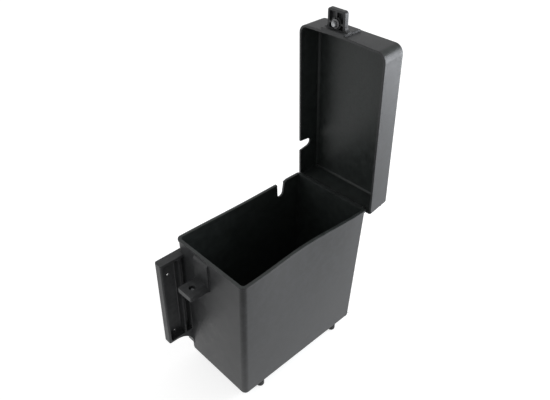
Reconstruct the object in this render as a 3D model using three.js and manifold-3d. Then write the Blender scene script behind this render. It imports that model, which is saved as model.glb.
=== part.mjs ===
// A moulded battery box with a hinged lid, standing open.
// Millimetres, +Z up. The latch shelf is on the front wall, which looks along -Y. The mounting flange and the
// cable notch are on the -X side, and the hinge is along the top of the back wall.
import * as THREE from "three";
import { mergeVertices } from "three/addons/utils/BufferGeometryUtils.js";
import Module from "manifold-3d";

const wasm = await Module();
wasm.setup();

// The tub. Its own zero is the middle of its underside.
const RIM_WIDTH = 108.6;
const RIM_LENGTH = 190;
const BOX_HEIGHT = 178;
const WALL = 3;
const FLOOR = 3.2;
const DRAFT_X = 4.4; // how far a side wall leans in between rim and floor
const DRAFT_Y = 3.3;
const BOX_CORNER = 6.5;
const BOX_BACK_CORNER = 3.4;
const FLOOR_EDGE = 5; // radius of the edge round the underside
const BOW_RIGHT = 4; // how far the rim of a long wall bows in at mid-length
const BOW_LEFT = 1;
const BEAD_OUT = 0.8;
const BEAD_HEIGHT = 3;

// The round-ended notches that let the cables out. tipY is the middle of the round end.
const BOX_NOTCH = { front: 54.5, rear: 67.3, tipY: 59.8, tip: 4.4, depth: 19.3, chamfer: 4.6 };
const LID_NOTCH = { front: 49.8, rear: 63.5, tipY: 55.9, tip: 4.6, depth: 16.4, chamfer: 0 };

// The mounting flange, an open tray that carries on the left wall past the front.
const FLANGE_FRONT = -126.2;
const FLANGE_BOTTOM = 40;
const FLANGE_TOP = 161.8;
const FLANGE_DEPTH = 11.7;
const FLANGE_WEB = 2.8;
const FLANGE_LIP = 3;
const FLANGE_ROOT = -84; // where its block ends along the left wall
const REAR_LIP = { front: -103.4, thickness: 2.5 };
const FLANGE_FILLET = 25;
const FLANGE_HOLES = [136.2, 46.5];
const FLANGE_HOLE = { y: -112.5, radius: 1.8 };

// The closing latch: a shelf on the box and a lug on the lid, on one upright axis.
const LATCH_X = -11.2;
const LATCH_Y = -109.4;
const SHELF = {
  left: -21.7, right: 0.2, tip: -120.3, corner: 1.2,
  top: 143.7, thickness: 6.5, boss: 8, hole: 3.5,
};
const BOX_PAD = { left: -23, right: 0.2, out: 2.2, top: 173.5 };
const LUG = {
  left: -22.9, right: 0.5, tip: -123.7, corner: 2.8,
  rise: 5.3, thickness: 5.5, boss: 6.6, hole: 4,
};
const LID_PAD = { halfWidth: 16.2, out: 2.5, depth: 27 };
const PLATE_SKIN = 2;
const RIB = 2.2;

// The lid, in its closed place.
const LID_RIM = 172;
const LID_DEPTH = 31.6;
const LID_HALF_WIDTH = 58.1;
const LID_FRONT = -99.2;
const LID_BACK = 101.6;
const LID_WALL = 2.6;
const LID_DRAFT = 1.4;
const LID_FRONT_CORNER = 10.5;
const LID_BACK_CORNER = 3;
const LID_EDGE = 2.4;
const LID_END_DRAFT = 0.4; // the end wall's draft at its corners; the bulge of its rim fades out upwards
const LID_BULGE = 1.5;

// The hinge.
const HINGE_Y = 99.5;
const HINGE_Z = 171.5;
const BARREL = 3.5;
const PIN = 2;
const GAP = 0.3;
const LID_OPEN = THREE.MathUtils.degToRad(87);
const BOX_KNUCKLES = [[-44, -32], [-6, 6], [32, 44]];
const LID_KNUCKLES = [[-31.5, -6.5], [6.5, 31.5]];
const RELIEF = 4.4; // radius cut from the lid's back wall round each knuckle of the box, and round the caps
const RELIEFS = [[-48.6, -31.5], [-6.5, 6.5], [31.5, 48.6]];

// The feet.
const FOOT_HEIGHT = 8;
const FOOT_RADIUS = 5;
const FOOT_STEM = 2.2;
const FOOT_BARB = 3;
const BARB_SEAT = 1.4; // height of the recess that keeps the barb below the floor's inner face
const FOOT_X = 43.6;
const FOOT_YS = [-62, 65.5];

// The closing screw, M6, and its nut.
const SCREW = 3;
const SCREW_TIP = 4.6; // how far it stands out below the boss
const HEAD = { radius: 5, height: 4.4 };
const WASHER = { radius: 6.2, height: 1 };
const RING = { radius: 4.8, height: 1.6 };
const NUT = { across: 10, height: 5.2, bore: 2.5 };

// The whole part stands on its feet, with zero under the middle of its outline.
const SHIFT_Y = -2.565;

const CORNER_STEPS = 5;
const SIDE_STEPS = 8;
const ROUND = 24;

const plastic = { color: 0x252627, roughness: 0.38, metalness: 0 };
const steel = { color: 0xb9babb, roughness: 0.3, metalness: 1 };
const rubber = { color: 0x1a1a1a, roughness: 0.8, metalness: 0 };

// ---- solids ----

function solid(geometry) {
  const bare = geometry.clone();
  bare.deleteAttribute("normal");
  bare.deleteAttribute("uv");
  const merged = mergeVertices(bare, 1e-4);
  return new wasm.Manifold(
    new wasm.Mesh({
      numProp: 3,
      vertProperties: merged.attributes.position.array,
      triVerts: new Uint32Array(merged.index.array),
    }),
  );
}

function mesh(name, body, look) {
  const { vertProperties, triVerts } = body.getMesh();
  const geometry = new THREE.BufferGeometry();
  geometry.setAttribute("position", new THREE.BufferAttribute(vertProperties, 3));
  geometry.setIndex(new THREE.BufferAttribute(triVerts, 1));
  const made = new THREE.Mesh(geometry, new THREE.MeshStandardMaterial({ ...look, flatShading: true }));
  made.name = name;
  return made;
}

function block([x0, x1], [y0, y1], [z0, z1]) {
  const geometry = new THREE.BoxGeometry(x1 - x0, y1 - y0, z1 - z0);
  geometry.translate((x0 + x1) / 2, (y0 + y1) / 2, (z0 + z1) / 2);
  return solid(geometry);
}

// A shape drawn in X and Y, extruded from z0 to z1.
function upright(shape, z0, z1) {
  const geometry = new THREE.ExtrudeGeometry(shape, { depth: z1 - z0, bevelEnabled: false, curveSegments: 6 });
  return solid(geometry.translate(0, 0, z0));
}

// A shape drawn in Y and Z, extruded from x0 to x1.
function sideways(shape, x0, x1) {
  const geometry = new THREE.ExtrudeGeometry(shape, { depth: x1 - x0, bevelEnabled: false, curveSegments: 8 });
  const turn = new THREE.Matrix4().makeBasis(
    new THREE.Vector3(0, 1, 0),
    new THREE.Vector3(0, 0, 1),
    new THREE.Vector3(1, 0, 0),
  );
  return solid(geometry.applyMatrix4(turn).translate(x0, 0, 0));
}

function post(radius, x, y, [z0, z1], sides = ROUND) {
  const geometry = new THREE.CylinderGeometry(radius, radius, z1 - z0, sides);
  return solid(geometry.rotateX(Math.PI / 2).translate(x, y, (z0 + z1) / 2));
}

// A cylinder on the hinge's axis.
function barrel(radius, [x0, x1]) {
  const geometry = new THREE.CylinderGeometry(radius, radius, x1 - x0, ROUND);
  return solid(geometry.rotateZ(Math.PI / 2).translate((x0 + x1) / 2, HINGE_Y, HINGE_Z));
}

// A round piece from its profile, given as [radius, height] from the bottom up, on the upright axis at x, y.
function turned(profile, x, y) {
  const points = profile.map(([radius, height]) => new THREE.Vector2(radius, height));
  return solid(new THREE.LatheGeometry(points, ROUND).rotateX(Math.PI / 2).translate(x, y, 0));
}

// A rectangle in plan with its four corners rounded.
function roundRectangle([x0, x1], [y0, y1], r) {
  const shape = new THREE.Shape();
  shape.moveTo(x0 + r, y0).lineTo(x1 - r, y0).absarc(x1 - r, y0 + r, r, -Math.PI / 2, 0);
  shape.lineTo(x1, y1 - r).absarc(x1 - r, y1 - r, r, 0, Math.PI / 2);
  shape.lineTo(x0 + r, y1).absarc(x0 + r, y1 - r, r, Math.PI / 2, Math.PI);
  shape.lineTo(x0, y0 + r).absarc(x0 + r, y0 + r, r, Math.PI, Math.PI * 1.5);
  return shape;
}

// A closed run of [x, y] points, counter-clockwise, with round corners. The long sides can bow in and the
// front can bulge out.
function outline({ halfX, front, back, frontCorner, backCorner, bowRight = 0, bowLeft = 0, bulge = 0 }) {
  const points = [];
  const corner = (x, y, r, from) => {
    for (let i = 0; i <= CORNER_STEPS; i++) {
      const a = from + (i / CORNER_STEPS) * (Math.PI / 2);
      points.push([x + r * Math.cos(a), y + r * Math.sin(a)]);
    }
  };
  const along = (from, to, move) => {
    for (let i = 1; i < SIDE_STEPS; i++) {
      const t = i / SIDE_STEPS;
      const swell = Math.sin(Math.PI * t) ** 2;
      points.push(move(from + (to - from) * t, swell));
    }
  };
  corner(halfX - frontCorner, front + frontCorner, frontCorner, -Math.PI / 2);
  along(front + frontCorner, back - backCorner, (y, swell) => [halfX - bowRight * swell, y]);
  corner(halfX - backCorner, back - backCorner, backCorner, 0);
  corner(backCorner - halfX, back - backCorner, backCorner, Math.PI / 2);
  along(back - backCorner, front + frontCorner, (y, swell) => [bowLeft * swell - halfX, y]);
  corner(frontCorner - halfX, front + frontCorner, frontCorner, Math.PI);
  along(frontCorner - halfX, halfX - frontCorner, (x, swell) => [x, front - bulge * swell]);
  return points;
}

// A closed skin through outlines of the same number of points, from the lowest level up.
function loft(levels) {
  const count = levels[0].points.length;
  const positions = levels.flatMap(({ z, points }) => points.flatMap(([x, y]) => [x, y, z]));
  const index = [];
  for (let level = 0; level + 1 < levels.length; level++) {
    for (let i = 0; i < count; i++) {
      const a = level * count + i;
      const b = level * count + ((i + 1) % count);
      index.push(a, b, b + count, a, b + count, a + count);
    }
  }
  const flat = (points) => points.map(([x, y]) => new THREE.Vector2(x, y));
  const cap = (points) => THREE.ShapeUtils.triangulateShape(flat(points), []);
  const top = (levels.length - 1) * count;
  for (const [a, b, c] of cap(levels[0].points)) index.push(a, c, b);
  for (const [a, b, c] of cap(levels.at(-1).points)) index.push(top + a, top + b, top + c);
  const geometry = new THREE.BufferGeometry();
  geometry.setAttribute("position", new THREE.Float32BufferAttribute(positions, 3));
  geometry.setIndex(index);
  return solid(geometry);
}

// ---- the tub ----

// The outline of the tub's wall at height z, moved in by inset.
function tubOutline(z, inset, cornerRadius) {
  const down = 1 - z / BOX_HEIGHT;
  const bow = (z / BOX_HEIGHT) ** 2;
  const halfY = RIM_LENGTH / 2 - DRAFT_Y * down - inset;
  return outline({
    halfX: RIM_WIDTH / 2 - DRAFT_X * down - inset,
    front: -halfY,
    back: halfY,
    frontCorner: cornerRadius,
    backCorner: cornerRadius - BOX_CORNER + BOX_BACK_CORNER,
    bowRight: BOW_RIGHT * bow,
    bowLeft: BOW_LEFT * bow,
  });
}

function tubOutside() {
  const levels = [];
  for (let i = 0; i <= 3; i++) {
    const a = (i / 3) * (Math.PI / 2);
    const inset = FLOOR_EDGE * (1 - Math.sin(a));
    const z = FLOOR_EDGE * (1 - Math.cos(a));
    levels.push({ z, points: tubOutline(z, inset, BOX_CORNER - inset * 0.6) });
  }
  for (const share of [0.35, 0.65, 0.85]) {
    const z = BOX_HEIGHT * share;
    levels.push({ z, points: tubOutline(z, 0, BOX_CORNER) });
  }
  const bead = BOX_HEIGHT - BEAD_HEIGHT;
  levels.push({ z: bead, points: tubOutline(bead, 0, BOX_CORNER) });
  levels.push({ z: bead + BEAD_OUT, points: tubOutline(bead + BEAD_OUT, -BEAD_OUT, BOX_CORNER + BEAD_OUT) });
  levels.push({ z: BOX_HEIGHT, points: tubOutline(BOX_HEIGHT, -BEAD_OUT, BOX_CORNER + BEAD_OUT) });
  return loft(levels);
}

function tubInside() {
  const heights = [FLOOR, 0.35 * BOX_HEIGHT, 0.65 * BOX_HEIGHT, 0.85 * BOX_HEIGHT, BOX_HEIGHT + 2];
  return loft(heights.map((z) => ({ z, points: tubOutline(z, WALL, BOX_CORNER - WALL) })));
}

// A notch with a round end, drawn in Y and Z, cut from the edge at z. It runs down where direction is -1.
function notchShape({ front, rear, tipY, tip, depth, chamfer }, z, direction) {
  const shape = new THREE.Shape();
  const outside = z - 10 * direction;
  const end = z + direction * (depth - tip);
  shape.moveTo(front, outside).lineTo(front, z).lineTo(tipY - tip, end);
  for (let i = 1; i < 8; i++) {
    const a = Math.PI * (i / 8);
    shape.lineTo(tipY - tip * Math.cos(a), end + direction * tip * Math.sin(a));
  }
  shape.lineTo(tipY + tip, end).lineTo(rear, z + direction * chamfer * 0.4);
  if (chamfer) shape.lineTo(rear + chamfer, z);
  shape.lineTo(rear + chamfer, outside);
  return shape;
}

function flange() {
  const left = -RIM_WIDTH / 2;
  const right = left + FLANGE_DEPTH;
  const web = left + FLANGE_WEB;
  const inner = [FLANGE_BOTTOM + FLANGE_LIP, FLANGE_TOP - FLANGE_LIP];
  const plan = roundRectangle([left, right], [FLANGE_FRONT, FLANGE_ROOT], 2.5);
  const tray = upright(plan, FLANGE_BOTTOM, FLANGE_TOP);
  const pocket = block([web, right + 1], [FLANGE_FRONT + FLANGE_LIP, REAR_LIP.front], inner);
  const groove = block([web, right + 1], [REAR_LIP.front + REAR_LIP.thickness, -RIM_LENGTH / 2 + 1.5], inner);
  let made = tray.subtract(pocket).subtract(groove).add(flangeFillet(left, right));
  for (const z of FLANGE_HOLES) {
    const hole = new THREE.CylinderGeometry(FLANGE_HOLE.radius, FLANGE_HOLE.radius, 3 * FLANGE_WEB, ROUND);
    made = made.subtract(solid(hole.rotateZ(Math.PI / 2).translate(left, FLANGE_HOLE.y, z)));
  }
  return made;
}

// The hollow curve under the flange, where its floor runs down into the front wall.
function flangeFillet(left, right) {
  const r = FLANGE_FILLET;
  const wallY = -RIM_LENGTH / 2 + 2.6;
  const shape = new THREE.Shape();
  shape.moveTo(wallY + 6, FLANGE_BOTTOM + 1).lineTo(wallY - r, FLANGE_BOTTOM + 1);
  shape.lineTo(wallY - r, FLANGE_BOTTOM);
  shape.absarc(wallY - r, FLANGE_BOTTOM - r, r, Math.PI / 2, 0, true);
  shape.lineTo(wallY + 6, FLANGE_BOTTOM - r);
  return sideways(shape, left, right);
}

// The thickened pad that carries the shelf, from just under the rim down to the shelf's underside.
function boxPad() {
  const wallY = -RIM_LENGTH / 2;
  const bottom = SHELF.top - SHELF.thickness;
  const shape = new THREE.Shape();
  shape.moveTo(wallY + 3, BOX_PAD.top).lineTo(wallY, BOX_PAD.top);
  shape.lineTo(wallY - BOX_PAD.out, BOX_PAD.top - 2.5).lineTo(wallY - BOX_PAD.out, bottom);
  shape.lineTo(wallY + 3, bottom - 4);
  return sideways(shape, BOX_PAD.left, BOX_PAD.right);
}

// A ribbed plate with a round boss on the latch's axis, hollowed from below. rootY is where it joins a wall.
function latchPlate({ left, right, tip, corner, thickness, boss }, rootY, bottom) {
  const sides = [left, right];
  const plate = upright(roundRectangle(sides, [tip, rootY + 3], corner), bottom, bottom + thickness);
  const hollowHeight = [bottom - 1, bottom + thickness - PLATE_SKIN];
  const frame = RIB + 0.4;
  const hollow = block([sides[0] + frame, sides[1] - frame], [tip + frame, rootY], hollowHeight);
  const ribs = block([LATCH_X - RIB / 2, LATCH_X + RIB / 2], [tip, rootY], hollowHeight)
    .add(block(sides, [LATCH_Y - RIB / 2, LATCH_Y + RIB / 2], hollowHeight))
    .add(post(boss, LATCH_X, LATCH_Y, hollowHeight));
  return plate.subtract(hollow.subtract(ribs));
}

function latchBore({ hole, thickness }, bottom) {
  return post(hole, LATCH_X, LATCH_Y, [bottom - 1, bottom + thickness + 1]);
}

function shelf() {
  const bottom = SHELF.top - SHELF.thickness;
  const seatRadius = (NUT.across / 2 + GAP) / Math.cos(Math.PI / 6);
  const seat = post(seatRadius, LATCH_X, LATCH_Y, [bottom - 1, bottom + 4], 6);
  const plate = latchPlate(SHELF, -RIM_LENGTH / 2 - BOX_PAD.out, bottom);
  return plate.subtract(latchBore(SHELF, bottom)).subtract(seat);
}

// The height, at y, of the outer face of the lid's hinge wall once the lid is open.
function openWallZ(y) {
  const turned = (closedY, closedZ) => {
    const arm = new THREE.Vector2(closedY - HINGE_Y, closedZ - HINGE_Z);
    arm.rotateAround(new THREE.Vector2(), -LID_OPEN);
    return [HINGE_Y + arm.x, HINGE_Z + arm.y];
  };
  const [y0, z0] = turned(LID_BACK, LID_RIM);
  const [y1, z1] = turned(LID_BACK - LID_DRAFT, LID_RIM + LID_DEPTH);
  return z0 + ((z1 - z0) * (y - y0)) / (y1 - y0);
}

// One knuckle of the box: barrel, arm to the back wall, and the heel that the open lid rests on.
function boxKnuckle(span) {
  const shape = new THREE.Shape();
  const heel = [HINGE_Y + RELIEF + 0.6, HINGE_Y + RELIEF + 5];
  shape.moveTo(93.2, 152).lineTo(94.8, 152).lineTo(heel[1] - 2, 163).lineTo(heel[1], 167);
  shape.lineTo(heel[1], openWallZ(heel[1]) - GAP).lineTo(heel[0], openWallZ(heel[0]) - GAP);
  shape.lineTo(HINGE_Y, 170).lineTo(HINGE_Y - 3, 173).lineTo(93.2, 173);
  return sideways(shape, ...span).add(barrel(BARREL, span));
}

function boxBody() {
  let made = tubOutside().add(flange()).add(boxPad()).add(shelf());
  for (const span of BOX_KNUCKLES) made = made.add(boxKnuckle(span));
  made = made.subtract(tubInside());
  made = made.subtract(barrel(PIN + GAP, [-60, 60]));
  made = made.subtract(sideways(notchShape(BOX_NOTCH, BOX_HEIGHT, -1), -60, -40));
  for (const [x, y] of footPlaces()) {
    made = made.subtract(post(FOOT_STEM + GAP, x, y, [-1, FLOOR + 1], 16));
    made = made.subtract(post(FOOT_BARB + 2 * GAP, x, y, [BARB_SEAT, FLOOR + 1], 16));
  }
  return made;
}

// ---- the lid, closed ----

// The outline of the lid's wall, rise above its rim, moved in by inset.
function lidOutline(rise, inset, frontCorner, backCorner) {
  const share = rise / LID_DEPTH;
  return outline({
    halfX: LID_HALF_WIDTH - LID_DRAFT * share - inset,
    front: LID_FRONT + LID_END_DRAFT * share + inset,
    back: LID_BACK - LID_DRAFT * share - inset,
    frontCorner,
    backCorner,
    bulge: LID_BULGE * (1 - share),
  });
}

function lidOutside() {
  const levels = [{ z: LID_RIM, points: lidOutline(0, 0, LID_FRONT_CORNER, LID_BACK_CORNER) }];
  for (let i = 0; i <= 3; i++) {
    const a = (i / 3) * (Math.PI / 2);
    const inset = LID_EDGE * (1 - Math.cos(a));
    const rise = LID_DEPTH - LID_EDGE * (1 - Math.sin(a));
    const shrink = inset * 0.6;
    const points = lidOutline(rise, inset, LID_FRONT_CORNER - shrink, LID_BACK_CORNER - shrink);
    levels.push({ z: LID_RIM + rise, points });
  }
  return loft(levels);
}

function lidInside() {
  const rises = [-2, LID_DEPTH - LID_WALL];
  return loft(
    rises.map((rise) => ({
      z: LID_RIM + rise,
      points: lidOutline(rise, LID_WALL, LID_FRONT_CORNER - LID_WALL, LID_BACK_CORNER - LID_WALL),
    })),
  );
}

// The thickened patch of the lid's end wall under the lug.
function lidPad() {
  const face = LID_FRONT - LID_BULGE;
  const lean = ((LID_END_DRAFT + LID_BULGE) * LID_PAD.depth) / LID_DEPTH;
  const shape = new THREE.Shape();
  shape.moveTo(face + 2, LID_RIM).lineTo(face + 4, LID_RIM + LID_PAD.depth);
  shape.lineTo(face + lean - LID_PAD.out + 1.2, LID_RIM + LID_PAD.depth);
  shape.lineTo(face + lean - LID_PAD.out, LID_RIM + LID_PAD.depth - 1.2).lineTo(face - LID_PAD.out, LID_RIM);
  return sideways(shape, LATCH_X - LID_PAD.halfWidth, LATCH_X + LID_PAD.halfWidth);
}

// The lug, with a hollow flare where each side runs into the pad.
function lug() {
  const bottom = LID_RIM + LUG.rise;
  const face = LID_FRONT - LID_BULGE - LID_PAD.out;
  const { left, right } = LUG;
  const flare = LID_PAD.halfWidth - (right - left) / 2 - 0.4;
  const shape = new THREE.Shape();
  shape.moveTo(left - flare, face + 1).lineTo(left - flare, face);
  shape.absarc(left - flare, face - flare, flare, Math.PI / 2, 0, true);
  shape.lineTo(right, face - flare).absarc(right + flare, face - flare, flare, Math.PI, Math.PI / 2, true);
  shape.lineTo(right + flare, face + 1);
  const root = upright(shape, bottom, bottom + LUG.thickness);
  const clear = block([left + RIB + 0.4, right - RIB - 0.4], [face - 10, face], [bottom - 1, bottom + 3.5]);
  return latchPlate(LUG, face, bottom).add(root.subtract(clear)).subtract(latchBore(LUG, bottom));
}

function lidBody() {
  let made = lidOutside().subtract(lidInside());
  for (const span of RELIEFS) made = made.subtract(barrel(RELIEF, span));
  for (const span of LID_KNUCKLES) made = made.add(barrel(BARREL, span));
  made = made.add(lidPad()).add(lug()).subtract(barrel(PIN + GAP, [-60, 60]));
  return made.subtract(sideways(notchShape(LID_NOTCH, LID_RIM, 1), -65, -45));
}

// ---- hardware ----

function footPlaces() {
  return FOOT_YS.flatMap((y) => [[-FOOT_X, y], [FOOT_X, y]]);
}

// A push-in foot: round-edged head, stem through the floor, and a barb in the recess above it.
function foot(x, y) {
  const edge = 1.6;
  return turned(
    [
      [0, -FOOT_HEIGHT], [FOOT_RADIUS - edge, -FOOT_HEIGHT], [FOOT_RADIUS - 0.4, -FOOT_HEIGHT + 0.5],
      [FOOT_RADIUS, -FOOT_HEIGHT + edge], [FOOT_RADIUS, -GAP], [FOOT_STEM, -GAP],
      [FOOT_STEM, BARB_SEAT + GAP], [FOOT_BARB, BARB_SEAT + GAP],
      [FOOT_STEM - 0.4, FLOOR - GAP], [0, FLOOR - GAP],
    ],
    x,
    y,
  );
}

function hingePin() {
  return barrel(PIN, [-46.6, 46.6]);
}

// A push-on cap over one end of the pin; side is -1 for left and 1 for right.
function hingeCap(side) {
  const ends = [44.3 * side, 48 * side].sort((a, b) => a - b);
  const bore = [40 * side, 46.9 * side].sort((a, b) => a - b);
  return barrel(BARREL + 0.3, ends).subtract(barrel(PIN + GAP, bore));
}

function closingScrew() {
  const under = LID_RIM + LUG.rise + LUG.thickness + WASHER.height + 2 * GAP;
  const tip = LID_RIM + LUG.rise - SCREW_TIP;
  const body = turned(
    [
      [0, tip], [SCREW - 1, tip], [SCREW, tip + 1], [SCREW, under], [HEAD.radius, under],
      [HEAD.radius, under + HEAD.height * 0.6],
      [HEAD.radius - 1.8, under + HEAD.height], [0, under + HEAD.height],
    ],
    LATCH_X,
    LATCH_Y,
  );
  return body.subtract(post(2.9, LATCH_X, LATCH_Y, [under + 1.6, under + HEAD.height + 1], 6));
}

function washer(outer, inner, z0, height) {
  const bore = post(inner, LATCH_X, LATCH_Y, [z0 - 1, z0 + height + 1]);
  return post(outer, LATCH_X, LATCH_Y, [z0, z0 + height]).subtract(bore);
}

function shelfNut() {
  const top = SHELF.top - SHELF.thickness + 4 - GAP;
  const body = post(NUT.across / 2 / Math.cos(Math.PI / 6), LATCH_X, LATCH_Y, [top - NUT.height, top], 6);
  return body.subtract(post(NUT.bore, LATCH_X, LATCH_Y, [top - NUT.height - 1, top + 1]));
}

// ---- the assembly ----

function boxAssembly() {
  const group = new THREE.Group();
  group.add(mesh("box_body", boxBody(), plastic));
  group.add(mesh("shelf_nut", shelfNut(), steel));
  group.add(mesh("hinge_pin", hingePin(), steel));
  group.add(mesh("hinge_cap_left", hingeCap(-1), steel));
  group.add(mesh("hinge_cap_right", hingeCap(1), steel));
  const names = ["foot_front_left", "foot_front_right", "foot_rear_left", "foot_rear_right"];
  footPlaces().forEach(([x, y], i) => group.add(mesh(names[i], foot(x, y), rubber)));
  return group;
}

function lidAssembly() {
  const lugBottom = LID_RIM + LUG.rise;
  const group = new THREE.Group();
  group.add(mesh("lid", lidBody(), plastic));
  group.add(mesh("closing_screw", closingScrew(), steel));
  const washerBottom = lugBottom + LUG.thickness + GAP;
  group.add(mesh("closing_washer", washer(WASHER.radius, SCREW + GAP, washerBottom, WASHER.height), steel));
  const ringBottom = lugBottom - GAP - RING.height;
  group.add(mesh("screw_retaining_ring", washer(RING.radius, SCREW + GAP, ringBottom, RING.height), rubber));
  group.position.set(0, -HINGE_Y, -HINGE_Z);
  const swing = new THREE.Group();
  swing.add(group);
  swing.position.set(0, HINGE_Y, HINGE_Z);
  swing.rotation.x = -LID_OPEN;
  return swing;
}

const batteryBox = new THREE.Group();
batteryBox.add(boxAssembly(), lidAssembly());
batteryBox.position.set(0, SHIFT_Y, FOOT_HEIGHT);

export default batteryBox;
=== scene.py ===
"""A moulded battery box with a hinged lid, standing open on a pale floor."""

import math

import bmesh
import bpy
from mathutils import Matrix, Vector


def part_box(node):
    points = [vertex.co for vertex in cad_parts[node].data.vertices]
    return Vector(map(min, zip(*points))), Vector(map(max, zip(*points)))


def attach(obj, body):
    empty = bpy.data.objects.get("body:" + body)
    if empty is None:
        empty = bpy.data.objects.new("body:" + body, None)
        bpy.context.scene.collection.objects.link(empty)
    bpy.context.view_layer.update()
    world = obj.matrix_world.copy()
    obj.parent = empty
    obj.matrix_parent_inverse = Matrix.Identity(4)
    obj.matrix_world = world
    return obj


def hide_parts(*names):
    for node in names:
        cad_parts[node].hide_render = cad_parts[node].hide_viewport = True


bl_info = {
    "name": "Battery box",
    "version": (1, 0, 0),
    "blender": (4, 5, 0),
    "location": "View3D > Sidebar > Battery box",
    "description": "Builds a moulded battery box with a hinged lid, its latch hardware and its studio",
    "category": "Object",
}

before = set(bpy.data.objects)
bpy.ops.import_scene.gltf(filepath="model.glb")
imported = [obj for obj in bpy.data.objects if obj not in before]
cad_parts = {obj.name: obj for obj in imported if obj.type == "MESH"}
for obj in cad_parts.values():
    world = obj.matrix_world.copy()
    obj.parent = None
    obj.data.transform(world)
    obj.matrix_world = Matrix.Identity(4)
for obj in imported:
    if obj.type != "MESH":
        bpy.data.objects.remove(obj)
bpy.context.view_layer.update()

MM = 0.001

# The tub's own zero is the middle of its underside. Everything is drawn from there, in millimetres.
TUB_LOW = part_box("box_body")[0]
SHIFT = Vector((0, TUB_LOW.y + 126.2 * MM, TUB_LOW.z))

# The tub.
BOX_HEIGHT = 178
RIM_HALF = (54.3, 95.0)
FLOOR_HALF = (49.9, 91.7)
WALL = 3.0
FLOOR = 3.2
BOX_CORNERS = (6.5, 3.4)  # at the front and at the hinge
FLOOR_EDGE = 5.0
BEAD_HEIGHT = 3.0

# The round-ended cable notches.
BOX_NOTCH = {"front": 54.5, "rear": 67.3, "tip_y": 59.8, "tip": 4.4, "depth": 19.3}
LID_NOTCH = {"front": 49.8, "rear": 63.5, "tip_y": 55.9, "tip": 4.6, "depth": 16.4}

# The mounting flange.
FLANGE_X = (-54.3, -42.6)
FLANGE_Y = (-126.2, -84.0)
FLANGE_Z = (40.0, 161.8)
WEB = 2.8
LIP = 3.0
REAR_LIP = (-103.4, -100.9)
GUSSET = 25.0
HOLE_Y = -112.5
HOLES_Z = (136.2, 46.5)
HOLE = 1.8

# The latch.
LATCH = (-11.2, -109.4)
SHELF_TOP = 143.7
SHELF_THICK = 6.5
SHELF_X = (-21.7, 0.2)
LUG_X = (-22.9, 0.5)

# The closing screw, from its tip to its head.
SCREW_TIP = 0.7  # above the lid's rim
SCREW_SHOULDER = 12.4
SCREW_RADIUS = 2.98
SCREW_CORE = 2.5
SCREW_HEAD = 5.0
SCREW_HEAD_HEIGHT = 4.4
GROOVES = 4

# The lid, closed.
LID_RIM = 172.0
LID_DEPTH = 31.6
LID_X = 58.1
LID_Y = (-99.2, 101.6)
LID_WALL = 2.6
LID_DRAFT = 1.4
LID_END_DRAFT = 0.4
LID_CORNERS = (10.5, 3.0)  # at the front and at the hinge

# The hinge.
HINGE = (99.5, 171.5)
OPENING = math.radians(87)
BARREL = 3.5
BOX_KNUCKLES = ((-44, -32), (-6, 6), (32, 44))
LID_KNUCKLES = ((-31.5, -6.5), (6.5, 31.5))
RELIEFS = ((-48.6, -31.5), (-6.5, 6.5), (31.5, 48.6))

# The studio.
WHITE = (1, 1, 1)
COOL_WHITE = (0.92, 0.95, 1.0)
FLOOR_DIMS = (-0.24, -0.115)  # between these distances from front to back, in metres

# The feet.
FOOT_HEIGHT = 8.0
BARB_SEAT = 1.4  # height of the recess round a foot's barb
FOOT_PLACES = {
    "foot_front_left": (-43.6, -62.0),
    "foot_front_right": (43.6, -62.0),
    "foot_rear_left": (-43.6, 65.5),
    "foot_rear_right": (43.6, 65.5),
}


def linear(colour):
    """A sRGB hex colour as linear values."""
    channels = [int(colour[i : i + 2], 16) / 255 for i in (1, 3, 5)]
    return tuple(c / 12.92 if c <= 0.04045 else ((c + 0.055) / 1.055) ** 2.4 for c in channels)


def length(name, description, default):
    """A length that a user can change, with its default in millimetres."""
    return bpy.props.FloatProperty(
        name=name, description=description, default=default * MM, min=0, unit="LENGTH", precision=4
    )


def colour(name, description, default):
    """A colour that a user can change, with its default as a sRGB hex value."""
    return bpy.props.FloatVectorProperty(
        name=name, description=description, default=linear(default), min=0, max=1, subtype="COLOR"
    )


def strength(name, description, default):
    """A light's strength in watts, or a glow's strength."""
    return bpy.props.FloatProperty(name=name, description=description, default=default, min=0)


class BatteryBoxSizes(bpy.types.PropertyGroup):
    """The sizes that the pieces are finished with."""

    edge_round: length("Edge round", "Radius of the moulded edges", 0.45)
    rim_bead: length("Rim bead", "How far the bead round the tub's rim stands out", 0.8)
    bow_right: length("Right bow", "How far the rim of the right wall bows in", 4.0)
    bow_left: length("Left bow", "How far the rim of the left wall bows in", 1.0)
    lid_bulge: length("Lid bulge", "How far the lid's end wall bulges out at its rim", 1.5)
    lid_fillet: length("Lid fillet", "Radius inside the lid, where its panel meets its walls", 2.5)


class BatteryBoxColours(bpy.types.PropertyGroup):
    """The colours of the finishes."""

    plastic: colour("Plastic", "Black moulded polypropylene, outside", "#303132")
    # The inside colour is darker than the outside one: painted shade inside the tub and the lid.
    core: colour("Plastic inside", "Black moulded polypropylene, on the duller core side", "#242827")
    steel: colour("Steel", "Zinc-plated steel", "#a9abad")
    # The nut's darker steel is painted shade, for the nut down in the shelf's hole.
    nut: colour("Nut", "Plated steel that has gone dull", "#606163")
    rubber: colour("Rubber", "Black rubber of the feet", "#191919")
    # The ring's pale grey is partly its own colour and partly painted highlight, for the light it catches
    # at the screw's base.
    ring: colour("Retaining ring", "Rubber gone grey with handling", "#6e6e70")
    floor: colour("Floor", "The studio's floor, before its own glow", "#b8b8b8")


class BatteryBoxLights(bpy.types.PropertyGroup):
    """The studio's lights."""

    glow: strength("Floor glow", "How brightly the floor shines by itself", 0.75)
    sky: strength("Sky", "How bright the studio is overhead", 0.7)
    horizon: strength("Horizon", "How bright the studio is near the floor", 1.0)
    behind_camera: strength("Behind the camera", "How much of its brightness the studio keeps there", 0.4)
    side: strength("Side light", "Power of the soft light behind on the right", 12.5)
    front: strength("Front light", "Power of the soft light in front on the left", 2.5)


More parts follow.
